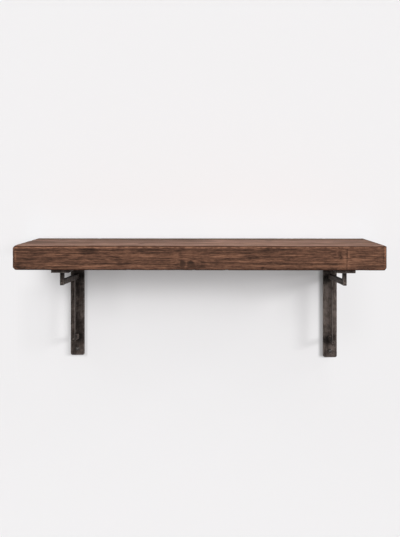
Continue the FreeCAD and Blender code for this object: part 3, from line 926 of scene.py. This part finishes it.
def screw_head(radius, height):
    """Points and faces of a slotted dome, its seat at the origin and its crown along +Z."""
    lines = np.linspace(-1.0, 1.0, HEAD_LINES)
    share = SLOT_HALF / radius
    slot_lines = [-share, -0.4 * share, 0.4 * share, share]
    across = np.unique(np.concatenate([lines[np.abs(lines) > 1.6 * share], slot_lines]))
    levels = np.array([0.0, 0.5, 1.0])
    middle = (across[1:] + across[:-1]) / 2
    filled = np.ones((len(lines) - 1, len(across) - 1, 2), bool)
    filled[:, np.abs(middle) < share, 1] = False
    points, faces = shell([lines, across, levels], filled)
    u, v, level = points.T
    x = radius * u * np.sqrt(1.0 - v ** 2 / 2)
    y = radius * v * np.sqrt(1.0 - u ** 2 / 2)
    far = np.clip((x ** 2 + y ** 2) / radius ** 2, 0.0, 1.0)
    ball = (radius ** 2 + height ** 2) / (2 * height)
    dome = np.sqrt(np.maximum(ball ** 2 - far * radius ** 2, 0.0)) - (ball - height)
    dome = HEAD_RIM + (1.0 - HEAD_RIM / height) * dome
    in_slot = np.abs(v) <= share + 1e-9
    floor = np.where(in_slot, np.minimum(height - SLOT_DEPTH, 0.8 * dome), 0.5 * dome)
    z = np.select([level > 0.75, level > 0.25], [dome, floor], 0.0)
    return np.stack([x, y, z], 1), faces


def screw_shank(neck, neck_length, thread, length, pitch, around):
    """Points and faces of a plain neck and a cut thread with a point, below the origin along -Z."""
    cut = np.arange(-neck_length - 0.05 * MM, -length, -pitch / 9)
    rows = [0.5 * HEAD_RIM, -0.98 * neck_length, -neck_length, *cut, -length]
    z = np.repeat(rows, around)
    share = np.tile(np.arange(around) / around, len(rows))
    ridge = np.maximum(0.0, 1.0 - np.abs((z / pitch + share) % 1.0 - 0.5) / 0.3)
    taper = np.minimum(1.0, TIP_SHARE + (1.0 - TIP_SHARE) * (z + length) / SCREW_TIP)
    out = np.where(z > -neck_length, neck, thread * (THREAD_CORE + (1.0 - THREAD_CORE) * ridge) * taper)
    sides = np.stack([out * np.cos(2 * pi * share), out * np.sin(2 * pi * share), z], 1)
    points = np.concatenate([sides, [(0.0, 0.0, -length), (0.0, 0.0, rows[0])]])
    return points, np.roll(ring_faces(len(rows), around)[:, ::-1], 1, axis=1)


def make_screws(name, seats, to_wall, sizes, turns, material):
    """Slotted screws with cut threads, driven to the wall or up."""
    head, shank = sizes
    meshes = (screw_head(*head), screw_shank(*shank))
    parts = []
    for seat, turn in zip(seats, turns):
        c, s = cos(turn), sin(turn)
        for points, faces in meshes:
            x, y, z = points[:, 0] * c - points[:, 1] * s, points[:, 0] * s + points[:, 1] * c, points[:, 2]
            placed = np.stack([x, -z, y] if to_wall else [x, -y, -z], 1)
            parts.append((placed + np.array(seat), faces))
    points, faces = joined(parts)
    piece = new_piece("slotted_" + name, points, faces, {}, material, SHARP_ANGLE)
    stand_for(piece, name)


def arm_underside(y):
    """Height of the arm's underside at a distance from the wall."""
    return POST_FOOT - ARM_FALL * (y - POST_BACK) / (WALL_PLATE_FRONT - POST_BACK)


def make_plates(side, foot, end, iron):
    """Both plates of one bracket, with soot and painted shadow beside the joints, set inward where the shadow
    falls.
    """
    centre = BRACKETS[side][0]
    make_top_plate(side, [(centre, POST_FRONT + BAR_DEPTH / 2, TOP_PLATE_UNDERSIDE)], iron)
    aside, above = SHADOW_AND_SOOT_ASIDE[side]
    falls = (POST_FOOT - ARM_FALL, foot - RETURN_FALL)
    heights = [height + BAR_DEPTH / 2 + above for height in falls] + [TOP_PLATE_UNDERSIDE - aside]
    inward = copysign(aside, -centre)
    make_wall_plate(side, end, [(centre + inward, WALL_PLATE_FRONT, height) for height in heights], iron)


def make_bars(side, foot, iron):
    """Post, arm, upright and lower return of one bracket."""
    centre = BRACKETS[side][0]
    middle = BAR_DEPTH / 2
    upright_y = UPRIGHT_FRONT + middle
    wall_end = WALL_PLATE_FRONT + SEATING
    ahead, upward = (0, -1, 0), (0, 0, 1)
    upright_foot = (centre, UPRIGHT_BACK, foot + BAR_DEPTH)
    reach, heights = (POST_FRONT, POST_BACK), (POST_FOOT, TOP_PLATE_UNDERSIDE + SEATING)
    post_top = (centre, POST_FRONT + middle, TOP_PLATE_UNDERSIDE)
    make_bar(side, "front_post", reach, heights, iron, [post_top], dark=POST_DARK)

    reach, heights = (POST_BACK - SEATING, wall_end), (POST_FOOT, POST_FOOT + BAR_DEPTH)
    tilt = (POST_BACK, -ARM_FALL / (WALL_PLATE_FRONT - POST_BACK))
    ends = [((centre, POST_FRONT, POST_FOOT + middle), ahead)]
    make_bar(side, "arm", reach, heights, iron, tilt=tilt, ends=ends, dark=ARM_DARK)

    reach, heights = (UPRIGHT_FRONT, UPRIGHT_BACK), (foot, arm_underside(UPRIGHT_BACK) + 2 * SEATING)
    ends = [((centre, upright_y, arm_underside(upright_y) + BAR_DEPTH), upward)]
    wear = copysign(EDGE_WEAR, -centre)
    make_bar(side, "upright", reach, heights, iron, [upright_foot], ends=ends, wear=wear)

    reach, heights = (UPRIGHT_BACK - SEATING, wall_end), (foot, foot + BAR_DEPTH)
    tilt = (UPRIGHT_BACK, -RETURN_FALL / (WALL_PLATE_FRONT - UPRIGHT_BACK))
    ends = [((centre, UPRIGHT_FRONT, foot + middle), ahead)]
    make_bar(side, "lower_return", reach, heights, iron, [upright_foot], tilt, ends)


def make_bracket(side, iron, steel):
    """All pieces of one bracket, each where its node is."""
    centre, upright_length = BRACKETS[side]
    foot = arm_underside(UPRIGHT_BACK) - upright_length
    end = foot - RETURN_FALL - WALL_PLATE_TAIL
    make_plates(side, foot, end, iron)
    make_bars(side, foot, iron)

    arm_top = POST_FOOT - ARM_FALL + BAR_DEPTH
    heights = ((TOP_PLATE_UNDERSIDE + arm_top) / 2, end + WALL_SCREW_RISE)
    seats = [(centre, WALL_PLATE_FRONT, height) for height in heights]
    make_screws(side + "_wall_screws", seats, True, WALL_SCREW, WALL_SCREW_TURNS[side], steel)
    reach = TOP_PLATE_HALF - SHELF_SCREW_INSET
    places = [(centre + hand * reach, row) for row in SHELF_SCREW_ROWS for hand in (-1, 1)]
    seats = [(x, y, TOP_PLATE_UNDERSIDE) for x, y in places]
    make_screws(side + "_shelf_screws", seats, False, SHELF_SCREW, SHELF_SCREW_TURNS, steel)


def seen_rays(t):
    """One for rays from the camera, mirrored or passed on, and nothing for the rays that carry light."""
    path = t.node("ShaderNodeLightPath")
    seen = path.outputs["Is Camera Ray"]
    for ray in ("Is Glossy Ray", "Is Transmission Ray"):
        seen = t.math("MAXIMUM", seen, path.outputs[ray])
    return seen


def wall_paint(t):
    """Colour of the wall with its cool and shaded places, and where it is plain."""
    x, _, z = t.axes(t.place())
    shade = 0.0
    for across, depth, foot, top in WALL_SHADE:
        shade = t.plus(shade, (t.times(t.window(x, *across), t.window(z, *foot, *top)), depth))
    cool = t.times(t.window(z, *COOL_FROM, *COOL_ABOVE), t.range(t.math("ABSOLUTE", x), *COOL_ENDS))
    colour = t.mix(shade, t.mix(cool, BACKDROP_COLOUR, COOL_COLOUR), BLACK)
    beyond = t.math("MAXIMUM", t.range(x, *PLAIN_RIGHT), t.range(x, *PLAIN_LEFT))
    return colour, t.times(beyond, t.range(z, *PLAIN_BELOW), t.range(z, *PLAIN_FOOT))


def stage_material(name, is_wall):
    """Pale paint on the front and nothing from behind, and on the wall no shadow beyond the brackets."""
    t = Tree(bpy.data.materials.new(name))
    if is_wall:
        colour, plain = wall_paint(t)
        paint = t.node("ShaderNodeBsdfDiffuse", {"Color": colour}).outputs[0]
        glow = t.node("ShaderNodeEmission", {"Color": colour}).outputs[0]
        front = t.blend(t.times(plain, seen_rays(t)), paint, glow)
    else:
        front = t.node("ShaderNodeBsdfDiffuse", {"Color": BACKDROP_COLOUR}).outputs[0]
    clear = t.node("ShaderNodeBsdfTransparent").outputs[0]
    t.finish(t.blend(t.node("ShaderNodeNewGeometry").outputs["Backfacing"], front, clear))
    return t.owner


def make_stage():
    """Pale wall behind the shelf and pale floor below, seen from their front sides only."""
    reach = STAGE_REACH
    corner = (WALL_GAP, FLOOR_HEIGHT)
    sheets = {"wall": (corner, (WALL_GAP, reach)), "floor": ((-reach, FLOOR_HEIGHT), corner)}
    for name, (first, second) in sheets.items():
        places = [(-reach, *first), (reach, *first), (reach, *second), (-reach, *second)]
        mesh = bpy.data.meshes.new(name)
        mesh.from_pydata(places, [], [(0, 1, 2, 3)])
        mesh.materials.append(stage_material(name + "_paint", name == "wall"))
        made = add_object(name, mesh)
        made.visible_diffuse = False
        made.visible_shadow = False


def make_lamp(name, azimuth, elevation, width, strength):
    """Far soft lamp at an azimuth to the right of straight ahead and an elevation."""
    light = bpy.data.lights.new(name, "SUN")
    light.energy = pi * strength
    light.angle = radians(width)
    a, e = radians(azimuth), radians(elevation)
    towards = Vector((sin(a) * cos(e), -cos(a) * cos(e), sin(e)))
    made = add_object(name, light)
    made.rotation_mode = "QUATERNION"
    made.rotation_quaternion = towards.to_track_quat("Z", "Y")


def make_lights():
    """Lamps, and a world that looks like the backdrop and lights the object a little."""
    for name, (azimuth, elevation, width, share) in LAMPS.items():
        falling = cos(radians(azimuth)) * cos(radians(elevation))
        make_lamp(name, azimuth, elevation, width, share / falling)
    for name, given in SIDE_LAMPS.items():
        make_lamp(name, *given)
    world = bpy.data.worlds.new("studio")
    bpy.context.scene.world = world
    t = Tree(world)
    soft = t.node("ShaderNodeBackground", {"Color": WHITE, "Strength": AMBIENT}).outputs[0]
    pale = t.node("ShaderNodeBackground", {"Color": BACKDROP_COLOUR}).outputs[0]
    t.finish(t.blend(seen_rays(t), soft, pale), "ShaderNodeOutputWorld")


def make_camera():
    """Camera with the photograph's place and lens."""
    data = bpy.data.cameras.new("camera")
    data.sensor_width = SENSOR
    data.lens = FOCAL_PIXELS * SENSOR / FRAME_HEIGHT
    data.shift_y = (HORIZON_ROW - FRAME_HEIGHT / 2) / FRAME_HEIGHT
    made = add_object("camera", data)
    made.location = CAMERA_PLACE
    made.rotation_euler = (pi / 2, 0.0, radians(CAMERA_YAW))
    bpy.context.scene.camera = made


def main():
    bpy.context.scene.view_settings.view_transform = "Standard"
    make_board(wood_material())
    iron, steel = iron_material(), screw_material()
    for side in BRACKETS:
        make_bracket(side, iron, steel)
    make_stage()
    make_lights()
    make_camera()


main()
